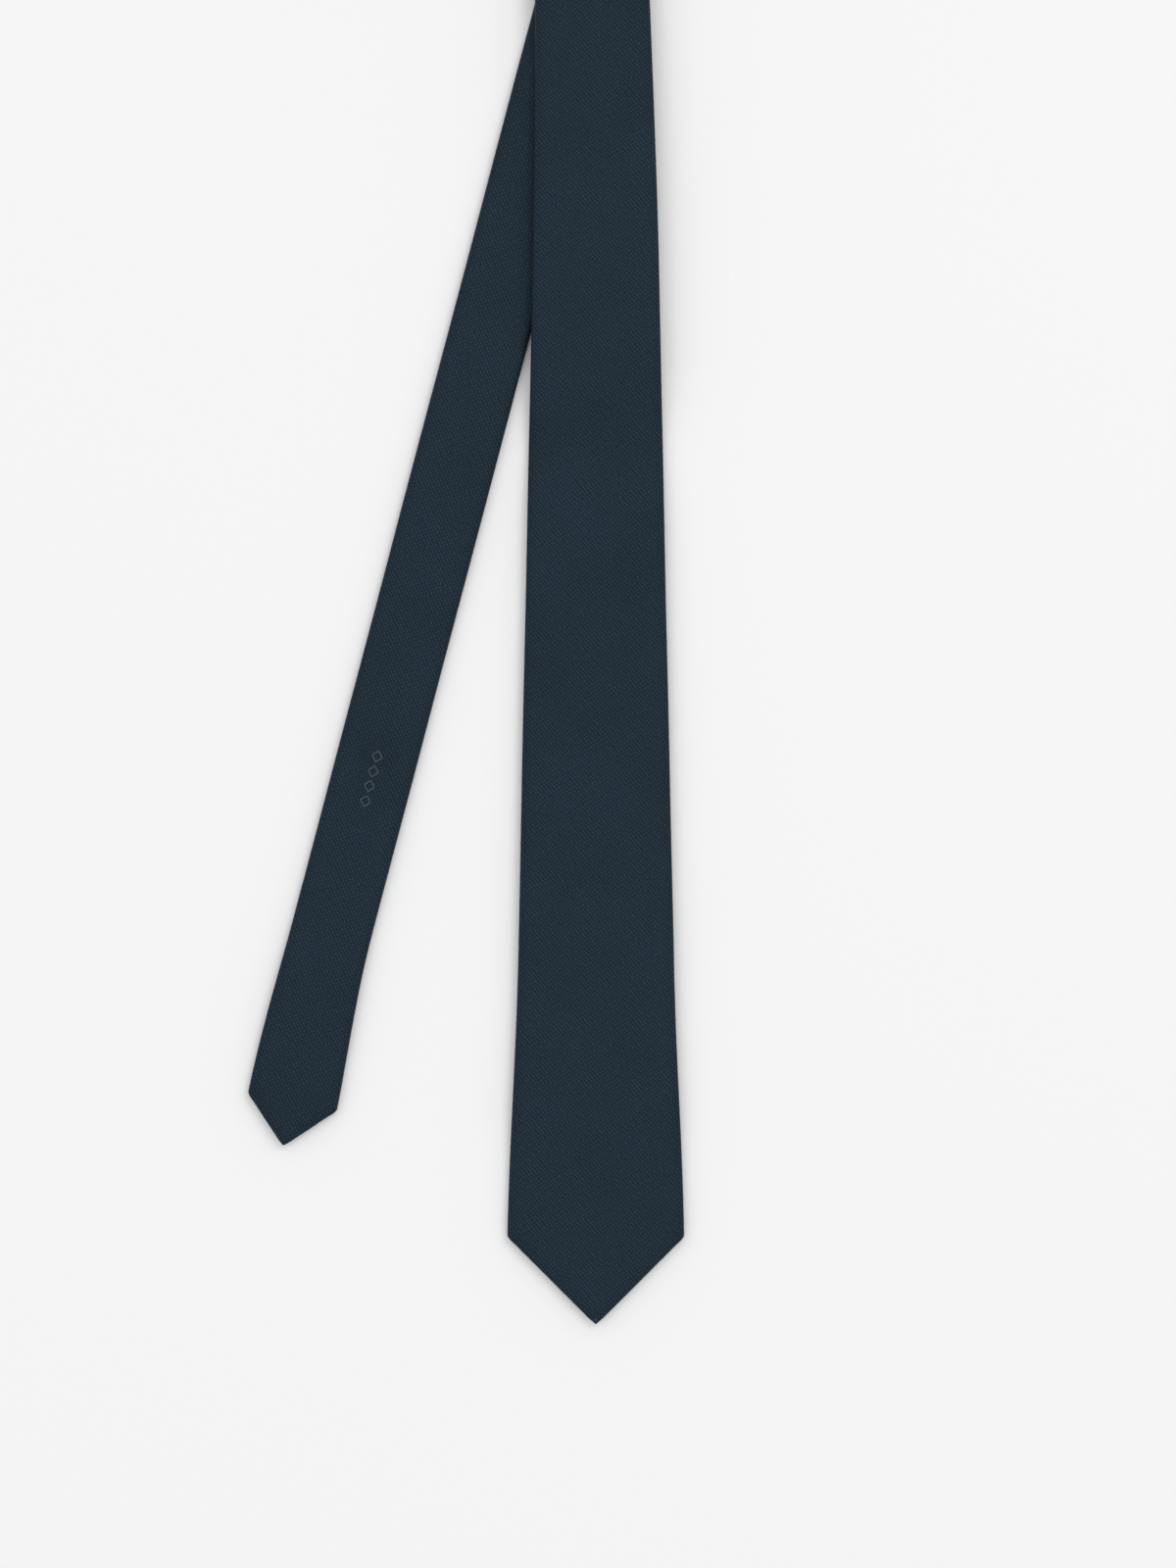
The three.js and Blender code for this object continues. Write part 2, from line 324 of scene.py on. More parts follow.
def closure(s):
    """How far the back seam is closed: 0 at the points, 1 above the bar tacks."""
    front = (s - front_hem) / (front_tack - front_hem)
    tail = (total_length - s - tail_hem) / (tail_tack - tail_hem)
    return min(max(min(front, tail), 0.0), 1.0)


# Across the cloth, from the left flap round the front to the right flap.
flap_share = 0.19
fold_share = 0.09
panel_share = 0.5 - flap_share - fold_share
crown = 0.22 * mm
shoulder = 5 * mm
shoulder_drop = 0.2 * mm
point_shoulder = 6 * mm
ripple = 0.16 * mm
ripple_across = 38.0
ripple_along = 17.0
ripple_seed = 4.2
back_arch = 0.2 * mm
corner_reach = 0.6 * mm
corner_breadth = 3 * mm


def cloth_across(s, share):
    """Distance in the cloth from the middle of the front to the given share of its width."""
    flat = half_width(s) - edge_radius
    hem = (front_hem if s < neck_middle else tail_hem) - edge_radius
    side = -1 if share < 0.5 else 1
    lap = upper_lap if side < 0 else lower_lap
    flap = mix(hem, flat + lap, closure(s))
    outward = abs(share - 0.5)
    if outward <= panel_share:
        return side * flat * outward / panel_share
    if outward <= panel_share + fold_share:
        return side * (flat + math.pi * roll * (outward - panel_share) / fold_share)
    return side * (flat + math.pi * roll + flap * (outward - panel_share - fold_share) / flap_share)


def from_point(s, t):
    """Distance square from the nearer of the edges of the nearer point."""
    return (min(s, total_length - s) - abs(t)) / math.sqrt(2)


def fold_round(s, t):
    """Where the cloth at distance t from the middle of the front lies in the cross-section."""
    flat = half_width(s) - edge_radius
    side = math.copysign(1.0, t)
    d = abs(t)
    if d <= flat:
        swell = crown * (1 - (d / flat) ** 2) - shoulder_drop * ease(1 - (flat - d) / shoulder)
        swell -= shoulder_drop * ease(1 - from_point(s, t) / point_shoulder)
        wave = ripple * noise.noise(Vector((t * ripple_across, s * ripple_along, ripple_seed)))
        return t, thickness - cloth / 2 + swell + wave * ease((flat - d) / shoulder)
    if d <= flat + math.pi * roll:
        angle = (d - flat) / roll
        drop = shoulder_drop * (1 - angle / math.pi)
        return side * (flat + roll * math.sin(angle)), edge_radius + roll * math.cos(angle) - drop
    r = side * (flat - (d - flat - math.pi * roll))
    rise = back_arch * ease(1 - abs(r) / flat) * closure(s)
    if side < 0:
        rise += lap_step * ease((r + upper_lap + lap_ramp) / lap_ramp) * ease(closure(s))
    return r, cloth / 2 + rise


def section_point(row, share):
    """The distance along, the cloth distance and the cross-section place of one grid vertex."""
    s = row
    for _ in range(row_rounds):
        t = cloth_across(s, share)
        r, w = fold_round(s, t)
        s = along_row(row, r)
    at_side = ease(1 - (half_width(s) - abs(r)) / corner_breadth)
    return s - corner_reach * row_slope(row) * at_side, t, r, w


hem_depth = 8 * mm
hem_rows = 10
hem_crowding = 1.3
hem_start = 1.4 * mm
panel_hem_roll = 0.75 * mm
flap_hem_roll = 0.3 * mm
mitre_gap = 0.02 * mm
flap_hem_reach = 1.2
corner_share = 0.085
corner_trim = 0.8
free_edge_share = 0.035


def turned_in(row, share, beyond):
    """A vertex of the hem: the cloth runs past the edge of the point, rolls over and comes back."""
    nudge = 0.0005
    s, t, r, w = section_point(row, share)
    before = section_point(row, share - nudge)
    after = section_point(row, share + nudge)
    edge = (lay(after[0], after[2], after[3]) - lay(before[0], before[2], before[3])).normalized()
    level = 0.1 * mm
    up_row = row + level if row < neck_middle else row - level
    inner = section_point(up_row, share)
    start = lay(s, r, w)
    along = (lay(inner[0], inner[2], inner[3]) - start).normalized()
    out = -(along - edge * along.dot(edge)).normalized()
    inward = edge.cross(out).normalized()
    if row >= neck_middle:
        inward = -inward
    from_edge = min(share, 1 - share)
    on_flap = ease((flap_share + fold_share * flap_hem_reach - from_edge) / fold_share)
    radius = mix(panel_hem_roll, flap_hem_roll, on_flap)
    past_fold = abs(from_edge - flap_share - fold_share / 2) - fold_share / 2
    corner = 1 - ease(past_fold / corner_share)
    beyond *= (1 - corner_trim * corner) * ease(from_edge / free_edge_share)
    angle = min(beyond / radius, math.pi)
    back = max(beyond - math.pi * radius, 0.0)
    if abs(t) < half_width(s):
        back = min(back, abs(r) * math.sqrt(2) + mitre_gap)
    bend = out * (radius * math.sin(angle) - back) + inward * radius * (1 - math.cos(angle))
    slant = beyond * math.sqrt(0.5)
    sideways = math.copysign(slant, t) * (1 - 2 * on_flap)
    return start + bend, (t + sideways, s - slant if row < neck_middle else s + slant)


def cloth_grid(name, columns, rows, vertex, painted_darkening=None):
    """A flat grid of cloth, every vertex of which is then laid in its place."""
    grid = bmesh.new()
    bmesh.ops.create_grid(grid, x_segments=columns, y_segments=rows, size=0.5)
    uv = grid.loops.layers.uv.new("cloth")
    press = grid.verts.layers.float.new("press")
    spread = {}
    for corner in grid.verts:
        column = round((corner.co.x + 0.5) * columns)
        row = round((corner.co.y + 0.5) * rows)
        corner.co, spread[corner] = vertex(column, row)
        if painted_darkening:
            corner[press] = painted_darkening(*spread[corner])
    for face in grid.faces:
        face.smooth = True
        for loop in face.loops:
            loop[uv].uv = spread[loop.vert]
    data = bpy.data.meshes.new(name)
    grid.to_mesh(data)
    grid.free()
    return link_object(name, data)


def thicken(piece, depth):
    wall = piece.modifiers.new("thickness", "SOLIDIFY")
    wall.thickness = depth
    wall.offset = 0.0
    wall.use_even_offset = False


shell_columns = 64
row_step = 3 * mm
seam_dip = 0.12 * mm
seam_reach = 3 * mm
edge_wave = 0.25 * mm
left_edge_seed = 8.6
right_edge_seed = 3.1
press_reach = 4.5 * mm
point_press = 0.8
point_press_reach = 7 * mm
mark_press = 0.5
mark_edge = 1.6
mark_place = total_length - 150 * mm
mark_reach = 7 * mm
mark_length = 10.5 * mm


def press_marks(t, s):
    """How hard the cloth is pressed: along its folds and points, and round the figure on the tail."""
    edge = abs(abs(t) - half_width(s))
    mark = max(abs(t) / mark_reach, (abs(s - mark_place) - mark_length) / mark_reach)
    point = ease(1 - from_point(s, t) / point_press_reach)
    return max(ease(1 - edge / press_reach), point_press * point, mark_press * ease(mark_edge - mark))


def dip_at_seam(s):
    near = min(abs(s - front_length), abs(s - neck_end))
    return seam_dip * ease(1 - near / seam_reach)


def shell(name, first, last, hem_first=False, hem_last=False):
    """One piece of the tie's outer cloth between two places along it."""
    count = math.ceil((last - first) / row_step)
    low = hem_rows if hem_first else 0
    high = hem_rows if hem_last else 0

    def vertex(column, row):
        share = column / shell_columns
        if row < low:
            return turned_in(first, share, hem_depth * ((low - row) / hem_rows) ** hem_crowding)
        if row > low + count:
            return turned_in(last, share, hem_depth * ((row - low - count) / hem_rows) ** hem_crowding)
        s, t, r, w = section_point(mix(first, last, (row - low) / count), share)
        w += math.copysign(dip_at_seam(s), edge_radius - w)
        seed = right_edge_seed if r > 0 else left_edge_seed
        wave = edge_wave * wander(s, seed) * abs(r) / half_width(s)
        return lay(s, r + wave, w), (t, s)

    piece = cloth_grid(name, shell_columns, low + count + high, vertex, press_marks)
    thicken(piece, cloth)
    piece.data.materials.append(silk)
    return piece


def sum_along(first, last, width_at):
    """Flat area of a strip whose width changes along the tie."""
    steps = 80
    middles = [mix(first, last, (i + 0.5) / steps) for i in range(steps)]
    return sum(width_at(s) for s in middles) * (last - first) / steps


def cloth_width(s):
    return cloth_across(s, 1.0) - cloth_across(s, 0.0)


weave_shake = 7.0
falling_angle = 40.0
rising_angle = 122.0
rising_rate = 0.9
falling_weight = 0.30
pebble_weight = 0.45
grain_weight = 0.30


# Coarse silk: a rib along each diagonal, the falling one stronger, and pebbles where they cross.
def bias_weave_group():
    tree = bpy.data.node_groups.new("bias_weave", "ShaderNodeTree")
    tree.interface.new_socket("Cloth", in_out="INPUT", socket_type="NodeSocketVector")
    tree.interface.new_socket("Pitch", in_out="INPUT", socket_type="NodeSocketFloat")
    tree.interface.new_socket("Rib", in_out="OUTPUT", socket_type="NodeSocketFloat")
    start = add_node(tree, "NodeGroupInput")
    end = add_node(tree, "NodeGroupOutput")
    wobble = add_node(tree, "ShaderNodeTexNoise", Scale=600.0, Detail=2.0)
    tree.links.new(start.outputs["Cloth"], wobble.inputs["Vector"])
    shake = sum_of(tree, "MULTIPLY", wobble.outputs["Fac"], weave_shake)
    grain = add_node(tree, "ShaderNodeTexNoise", Scale=1500.0, Detail=1.0)
    tree.links.new(start.outputs["Cloth"], grain.inputs["Vector"])

    def ribs(angle, rate):
        turn = math.radians(angle)
        dot = add_node(tree, "ShaderNodeVectorMath", operation="DOT_PRODUCT")
        dot.inputs[1].default_value = (math.cos(turn), math.sin(turn), 0.0)
        tree.links.new(start.outputs["Cloth"], dot.inputs[0])
        turns = sum_of(tree, "DIVIDE", dot.outputs["Value"], start.outputs["Pitch"])
        phase = sum_of(tree, "MULTIPLY_ADD", turns, 2 * math.pi * rate, shake)
        return sum_of(tree, "MULTIPLY_ADD", sum_of(tree, "SINE", phase), 0.5, 0.5)

    falling = ribs(falling_angle, 1.0)
    rising = ribs(rising_angle, rising_rate)
    pebble = sum_of(tree, "MULTIPLY", sum_of(tree, "MULTIPLY", falling, rising), pebble_weight)
    rib = sum_of(tree, "MULTIPLY_ADD", falling, falling_weight, pebble)
    height = sum_of(tree, "MULTIPLY_ADD", grain.outputs["Fac"], grain_weight, rib)
    tree.links.new(height, end.inputs["Rib"])
    return tree


# Soft unevenness of tone, from full down to a given depth.
def mottle_group():
    tree = bpy.data.node_groups.new("mottle", "ShaderNodeTree")
    tree.interface.new_socket("Cloth", in_out="INPUT", socket_type="NodeSocketVector")
    tree.interface.new_socket("Size", in_out="INPUT", socket_type="NodeSocketFloat")
    tree.interface.new_socket("Depth", in_out="INPUT", socket_type="NodeSocketFloat")
    tree.interface.new_socket("Tone", in_out="OUTPUT", socket_type="NodeSocketFloat")
    start = add_node(tree, "NodeGroupInput")
    end = add_node(tree, "NodeGroupOutput")
    cloud = add_node(tree, "ShaderNodeTexNoise", Detail=3.0, Roughness=0.6)
    tree.links.new(start.outputs["Cloth"], cloud.inputs["Vector"])
    tree.links.new(sum_of(tree, "DIVIDE", 1.0, start.outputs["Size"]), cloud.inputs["Scale"])
    spread = add_node(tree, "ShaderNodeMapRange")
    spread.inputs["From Min"].default_value = 0.3
    spread.inputs["From Max"].default_value = 0.7
    tree.links.new(cloud.outputs["Fac"], spread.inputs["Value"])
    dark = sum_of(tree, "MULTIPLY", spread.outputs["Result"], start.outputs["Depth"])
    tree.links.new(sum_of(tree, "SUBTRACT", 1.0, dark), end.inputs["Tone"])
    return tree


bias_weave = bias_weave_group()
mottle = mottle_group()


def place_group(tree, group, cloth_vector, **values):
    node = tree.nodes.new("ShaderNodeGroup")
    node.node_tree = group
    tree.links.new(cloth_vector, node.inputs["Cloth"])
    for key, value in values.items():
        node.inputs[key].default_value = value
    return node.outputs[0]


def own_cloth(tree):
    return add_node(tree, "ShaderNodeUVMap", uv_map="cloth").outputs["UV"]


def shaded(tree, colour, tone):
    """The colour darkened by a tone from 0 to 1."""
    shade = add_node(tree, "ShaderNodeVectorMath", operation="SCALE")
    tree.links.new(colour, shade.inputs[0])
    tree.links.new(tone, shade.inputs["Scale"])
    return shade.outputs["Vector"]


def raised(tree, shader, height, depth, strength):
    bump = add_node(tree, "ShaderNodeBump", Strength=strength, Distance=depth)
    tree.links.new(height, bump.inputs["Height"])
    tree.links.new(bump.outputs["Normal"], shader.inputs["Normal"])


def gloss_between(tree, shader, mask, dull, glossy):
    gloss = add_node(tree, "ShaderNodeMapRange")
    gloss.inputs["To Min"].default_value = dull
    gloss.inputs["To Max"].default_value = glossy
    tree.links.new(mask, gloss.inputs["Value"])
    tree.links.new(gloss.outputs["Result"], shader.inputs["Roughness"])


# How far the painted shade along the folds and points darkens the silk.
painted_darkening_depth = 0.18


def figured_silk():
    material, tree, shader = new_material(
        "figured_silk", Specular_IOR_Level=0.14, Sheen_Weight=0.03, Sheen_Roughness=0.4,
        Sheen_Tint=(0.5, 0.62, 0.72, 1.0))
    spread = own_cloth(tree)
    rib = place_group(tree, bias_weave, spread, Pitch=1.25 * mm)
    # The weave's colour runs from dark between the ribs to light on their crests: painted shade and
    # painted highlight on the threads.
    rib_highlight_and_shade = colour_ramp(
        tree, rib,
        (0.0, (0.0034, 0.0100, 0.0178)),
        (0.45, (0.0082, 0.0208, 0.0350)),
        (1.0, (0.0230, 0.0525, 0.0808)))
    tone = place_group(tree, mottle, spread, Size=38 * mm, Depth=0.2)
    # Painted shade: the silk darkens along its folds and the edges of its points, where the cloth
    # rolls away from the light, and also round the figure on the tail.
    painted_darkening = add_node(tree, "ShaderNodeAttribute", attribute_name="press").outputs["Fac"]
    painted_darkening_tone = sum_of(tree, "MULTIPLY_ADD", painted_darkening, -painted_darkening_depth, 1.0)
    mottle_and_painted_darkening = sum_of(tree, "MULTIPLY", tone, painted_darkening_tone)
    tree.links.new(shaded(tree, rib_highlight_and_shade, mottle_and_painted_darkening), shader.inputs["Base Color"])
    gloss_between(tree, shader, rib, dull=0.62, glossy=0.46)
    raised(tree, shader, rib, depth=0.12 * mm, strength=0.65)
    return material


silk = figured_silk()
front_point_loss = 20 * mm
front_fold = 340 * mm
fold_before = 12 * mm
fold_after = 30 * mm


def bend_front(piece):
    """The piece follows the front blade's fold, towards its tip."""
    lay(front_fold + fold_before, 0.0, thickness)
    lay(front_fold - fold_after, 0.0, thickness)
    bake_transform(piece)


front_cloth = shell("front_blade_cloth", hem_start, front_length - seam_gap / 2, hem_first=True)
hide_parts("front_shell_lower", "front_shell_upper")
bend_front(front_cloth)
sum_along(front_point_loss, front_length, cloth_width)


# ==== Neck piece ==========================================================================
# The middle piece joins the two blades with a seam at each end. It goes round the collar, and
# here it stands on its edge as a loop.

neck_cloth = shell("neck_cloth", front_length + seam_gap / 2, neck_end - seam_gap / 2)
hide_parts("neck_shell")
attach(neck_cloth, "neck")
sum_along(front_length, neck_end, cloth_width)


# ==== Seam allowances =====================================================================
# The blades and the neck piece are sewn together inside out, so 6 mm of silk on both sides of
# each neck seam lies pressed open inside the tie, between the outer cloth and the wool.

allowance = 6 * mm
allowance_depth = 0.1 * mm
allowance_inset = 0.34 * mm
allowance_clear = 8.5 * mm


def seam_allowance(name, seam, toward_blade):
    """The pressed-open seam, round the front and both folds and as far as the laps."""
    columns = 48
    rows = 12
    reach = 2 * (half_width(seam) - edge_radius) + math.pi * roll - allowance_clear
    inner = 1 - allowance_inset / roll

    def vertex(column, row):
        s = seam + mix(-allowance, allowance, row / rows)
        t = mix(-reach, reach, column / columns)
        r, w = fold_round(s, t)
        past_flat = max(abs(r) - (half_width(s) - edge_radius), 0.0)
        r -= math.copysign(past_flat * (1 - inner), r)
        w = edge_radius + (w - edge_radius) * inner
        w += math.copysign(dip_at_seam(s), edge_radius - w)
        return lay(s, r, w), (t, s)

    piece = cloth_grid(name, columns, rows, vertex)
    thicken(piece, allowance_depth)
    piece.data.materials.append(silk)
    lay(seam - toward_blade, 0.0, thickness)
    lay(seam + toward_blade, 0.0, thickness)
    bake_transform(piece)


seam_allowance("front_seam_allowance", front_length, -allowance)
seam_allowance("tail_seam_allowance", neck_end, allowance)


# ==== Tail ================================================================================
# The narrow end is folded and hemmed like the front blade, and lies under it.

tail_point_loss = 10 * mm
tail_fold = total_length - 262 * mm


def bend_tail(piece):
    """The piece follows the tail's fold, towards its tip."""
    lay(tail_fold - fold_before, 0.0, thickness)
    lay(tail_fold + fold_after, 0.0, thickness)
    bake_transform(piece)


tail_cloth = shell("tail_cloth", neck_end + seam_gap / 2, total_length - hem_start, hem_last=True)
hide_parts("tail_shell_upper", "tail_shell_lower")
bend_tail(tail_cloth)
sum_along(neck_end, total_length - tail_point_loss, cloth_width)


# ==== Wool interlining ====================================================================
# A strip of brushed wool, cut to the finished width, lies inside the folded silk from point to
# point. It gives the tie its body, and it is held only by the slip stitch.

wool_middle = 2.22 * mm
wool_depth = 1.0 * mm
wool_step = 6 * mm
wool_from_tip = 10 * mm


def inner_layer(name, first, last, step, middle, depth, material):
    """A flat layer inside the shell, as wide as the flat between its folds."""
    columns = 16
    rows = math.ceil((last - first) / step)

    def vertex(column, row):
        start = mix(first, last, row / rows)
        s = start
        for _ in range(row_rounds):
            r = (2 * column / columns - 1) * (half_width(s) - edge_radius)
            s = along_row(start, r)
        return lay(s, r, middle), (r, s)

    piece = cloth_grid(name, columns, rows, vertex)
    thicken(piece, depth)
    piece.data.materials.append(material)
    return piece


def inner_area(first, last):
    """Flat area of a layer whose end follows a square point, if it reaches one."""
    def width_at(s):
        to_end = min(s - first, last - s) if last > total_length - row_fade else s - first
        reach = to_end if min(first, total_length - last) < row_fade else front_width
        return 2 * min(half_width(s) - edge_radius, reach)
    return sum_along(first, last, width_at)


def brushed_wool():
    material, tree, shader = new_material(
        "brushed_wool", Specular_IOR_Level=0.1, Sheen_Weight=0.3, Sheen_Roughness=0.8,
        Roughness=0.95)
    spread = own_cloth(tree)
    fibre = add_node(tree, "ShaderNodeTexNoise", Scale=900.0, Detail=4.0, Roughness=0.7)
    tree.links.new(spread, fibre.inputs["Vector"])
    colour = colour_ramp(
        tree, fibre.outputs["Fac"],
        (0.3, (0.46, 0.42, 0.34)),
        (0.7, (0.74, 0.70, 0.60)))
    tone = place_group(tree, mottle, spread, Size=18 * mm, Depth=0.2)
    tree.links.new(shaded(tree, colour, tone), shader.inputs["Base Color"])
    raised(tree, shader, fibre.outputs["Fac"], depth=0.25 * mm, strength=0.7)
    return material


wool = brushed_wool()
wool_strips = (
    ("front_wool", wool_from_tip, front_length - seam_gap / 2),
    ("neck_wool", front_length + seam_gap / 2, neck_end - seam_gap / 2),
    ("tail_wool", neck_end + seam_gap / 2, total_length - wool_from_tip),
)
wool_pieces = {}
for name, first, last in wool_strips:
    strip = inner_layer(name, first, last, wool_step, wool_middle, wool_depth, wool)
    widest = 2 * half_width(min(max(first, front_width), total_length - tail_width))
    inner_area(first, last)
    wool_pieces[name] = strip
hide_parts("front_interlining_lower", "front_interlining_upper")
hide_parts("neck_interlining")
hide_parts("tail_interlining_upper", "tail_interlining_lower")
bend_front(wool_pieces["front_wool"])
bend_tail(wool_pieces["tail_wool"])
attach(wool_pieces["neck_wool"], "neck")


# ==== Satin tipping =======================================================================
# Behind each point the inside is faced with thin dark satin. It is sewn onto the turned-in hem,
# and its upper end is tucked in under the flaps beyond the bar tack.

tipping_middle = 1.52 * mm
tipping_depth = 0.3 * mm
tipping_step = 3 * mm
tipping_from_tip = 7.3 * mm
front_tipping_end = 124 * mm
tail_tipping_end = 82 * mm

weft_slant = 0.35
weft_shake = 2.0


# Fine parallel threads across a smooth ribbon or satin.
def fine_weft_group():
    tree = bpy.data.node_groups.new("fine_weft", "ShaderNodeTree")
    tree.interface.new_socket("Cloth", in_out="INPUT", socket_type="NodeSocketVector")
    tree.interface.new_socket("Pitch", in_out="INPUT", socket_type="NodeSocketFloat")
    tree.interface.new_socket("Weft", in_out="OUTPUT", socket_type="NodeSocketFloat")
    start = add_node(tree, "NodeGroupInput")
    end = add_node(tree, "NodeGroupOutput")
    split = add_node(tree, "ShaderNodeSeparateXYZ")
    tree.links.new(start.outputs["Cloth"], split.inputs["Vector"])
    uneven = add_node(tree, "ShaderNodeTexNoise", Scale=500.0, Detail=2.0)
    tree.links.new(start.outputs["Cloth"], uneven.inputs["Vector"])
    slanted = sum_of(tree, "MULTIPLY_ADD", split.outputs["X"], weft_slant, split.outputs["Y"])
    turns = sum_of(tree, "DIVIDE", slanted, start.outputs["Pitch"])
    shake = sum_of(tree, "MULTIPLY", uneven.outputs["Fac"], weft_shake)
    phase = sum_of(tree, "MULTIPLY_ADD", turns, 2 * math.pi, shake)
    wave = sum_of(tree, "MULTIPLY_ADD", sum_of(tree, "SINE", phase), 0.5, 0.5)
    tree.links.new(wave, end.inputs["Weft"])
    return tree


fine_weft = fine_weft_group()

satin_dulling = 0.1
satin_shine = 0.05


def woven_satin(name, dark, light, pitch, roughness):
    material, tree, shader = new_material(name, Specular_IOR_Level=0.22)
    spread = own_cloth(tree)
    weft = place_group(tree, fine_weft, spread, Pitch=pitch)
    tone = place_group(tree, mottle, spread, Size=14 * mm, Depth=0.3)
    colour = colour_ramp(tree, weft, (0.0, dark), (1.0, light))
    tree.links.new(shaded(tree, colour, tone), shader.inputs["Base Color"])
    gloss_between(tree, shader, weft, dull=roughness + satin_dulling, glossy=roughness - satin_shine)
    raised(tree, shader, weft, depth=0.05 * mm, strength=0.5)
    return material


tipping_satin = woven_satin(
    "tipping_satin", (0.004, 0.010, 0.020), (0.014, 0.028, 0.048), pitch=0.6 * mm, roughness=0.38)
tippings = (
    ("front", tipping_from_tip, front_tipping_end, front_width),
    ("tail", total_length - tail_tipping_end, total_length - tipping_from_tip, tail_width),
)
for end_name, first, last, width in tippings:
    facing = inner_layer(f"{end_name}_satin_tipping", first, last, tipping_step,
                         tipping_middle, tipping_depth, tipping_satin)
    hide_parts(f"{end_name}_tipping")
    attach(facing, f"{end_name}_lower")
    inner_area(first, last)


# ==== Slip stitch =========================================================================
# One loose silk thread closes the back. It runs along the edge of the lower lap, and takes a
# small bite over it every 12 mm, so that the tie can still stretch.

stitch_pitch = 12 * mm
stitch_bite = 1.7 * mm
stitch_radius = 0.15 * mm
stitch_step = 0.8 * mm
stitch_edge = 3.28 * mm
stitch_inner = 2.3 * mm
stitch_high = 0.42 * mm
stitch_low = 0.08 * mm
stitch_clear = 2.5 * mm
thread_sides = 6
thread_end_share = 0.25
weld_distance = 0.004 * mm


def add_thread(mesh, route, radius, level):
    """A round thread along a route; level is a direction that the route never takes."""
    uv = mesh.loops.layers.uv.get("cloth") or mesh.loops.layers.uv.new("cloth")
    rows = len(route) - 1
    grid = bmesh.ops.create_grid(mesh, x_segments=thread_sides, y_segments=rows, size=0.5)
    made = grid["verts"]
    travelled = [0.0]
    for a, b in zip(route, route[1:]):
        travelled.append(travelled[-1] + (b - a).length)
    spread = {}
    for corner in made:
        turn = corner.co.x + 0.5
        row = round((corner.co.y + 0.5) * rows)
        ahead = (route[min(row + 1, rows)] - route[max(row - 1, 0)]).normalized()
        side = ahead.cross(level).normalized()
        top = side.cross(ahead)
        reach = thread_end_share * radius if row in (0, rows) else radius
        angle = 2 * math.pi * turn
        corner.co = route[row] + reach * (side * math.cos(angle) + top * math.sin(angle))
        spread[corner] = (turn, travelled[row])
    for face in {face for corner in made for face in corner.link_faces}:
        face.smooth = True
        for loop in face.loops:
            loop[uv].uv = spread[loop.vert]


def thread_piece(name, threads, material):
    """All the threads of one kind as one piece, each closed along its side and at its ends."""
    mesh = bmesh.new()
    mesh.loops.layers.uv.new("cloth")
    for route, radius, level in threads:
        add_thread(mesh, route, radius, level)
    bmesh.ops.remove_doubles(mesh, verts=mesh.verts, dist=weld_distance)
    open_edges = [edge for edge in mesh.edges if edge.is_boundary]
    bmesh.ops.holes_fill(mesh, edges=open_edges, sides=thread_sides)
    bmesh.ops.recalc_face_normals(mesh, faces=mesh.faces)
    data = bpy.data.meshes.new(name)
    mesh.to_mesh(data)
    mesh.free()
    piece = link_object(name, data)
    piece.data.materials.append(material)
    return piece


plies = 2.0


# Plies of a twisted thread, along a UV of turns round it and metres along it.
def thread_twist_group():
    tree = bpy.data.node_groups.new("thread_twist", "ShaderNodeTree")
    tree.interface.new_socket("Cloth", in_out="INPUT", socket_type="NodeSocketVector")
    tree.interface.new_socket("Pitch", in_out="INPUT", socket_type="NodeSocketFloat")
    tree.interface.new_socket("Ply", in_out="OUTPUT", socket_type="NodeSocketFloat")
    start = add_node(tree, "NodeGroupInput")
    end = add_node(tree, "NodeGroupOutput")
    split = add_node(tree, "ShaderNodeSeparateXYZ")
    tree.links.new(start.outputs["Cloth"], split.inputs["Vector"])
    along = sum_of(tree, "DIVIDE", split.outputs["Y"], start.outputs["Pitch"])
    turns = sum_of(tree, "ADD", along, sum_of(tree, "MULTIPLY", split.outputs["X"], plies))
    wave = sum_of(tree, "SINE", sum_of(tree, "MULTIPLY", turns, 2 * math.pi))
    tree.links.new(sum_of(tree, "MULTIPLY_ADD", wave, 0.5, 0.5), end.inputs["Ply"])
    return tree


thread_twist = thread_twist_group()


def twisted_thread(name, dark, light):
    material, tree, shader = new_material(name, Specular_IOR_Level=0.3, Sheen_Weight=0.1)
    ply = place_group(tree, thread_twist, own_cloth(tree), Pitch=0.7 * mm)
    colour = colour_ramp(tree, ply, (0.0, dark), (1.0, light))
    tree.links.new(colour, shader.inputs["Base Color"])
    gloss_between(tree, shader, ply, dull=0.6, glossy=0.42)
    raised(tree, shader, ply, depth=0.04 * mm, strength=0.6)
    return material


silk_thread = twisted_thread("silk_thread", (0.010, 0.018, 0.028), (0.030, 0.046, 0.064))


def slip_stitch(first, last):
    """The thread's route along the lower lap between two places."""
    points = []
    for i in range(math.ceil((last - first) / stitch_step) + 1):
        s = min(first + i * stitch_step, last)
        from_bite = abs((s / stitch_pitch) % 1.0 - 0.5) * stitch_pitch
        bite = 2 * ease(1 - from_bite / stitch_bite)
        w = mix(stitch_high, stitch_low, min(bite, 1.0))
        r = -mix(stitch_edge, stitch_inner, max(bite - 1.0, 0.0))
        points.append(lay(s, r, w))
    return points


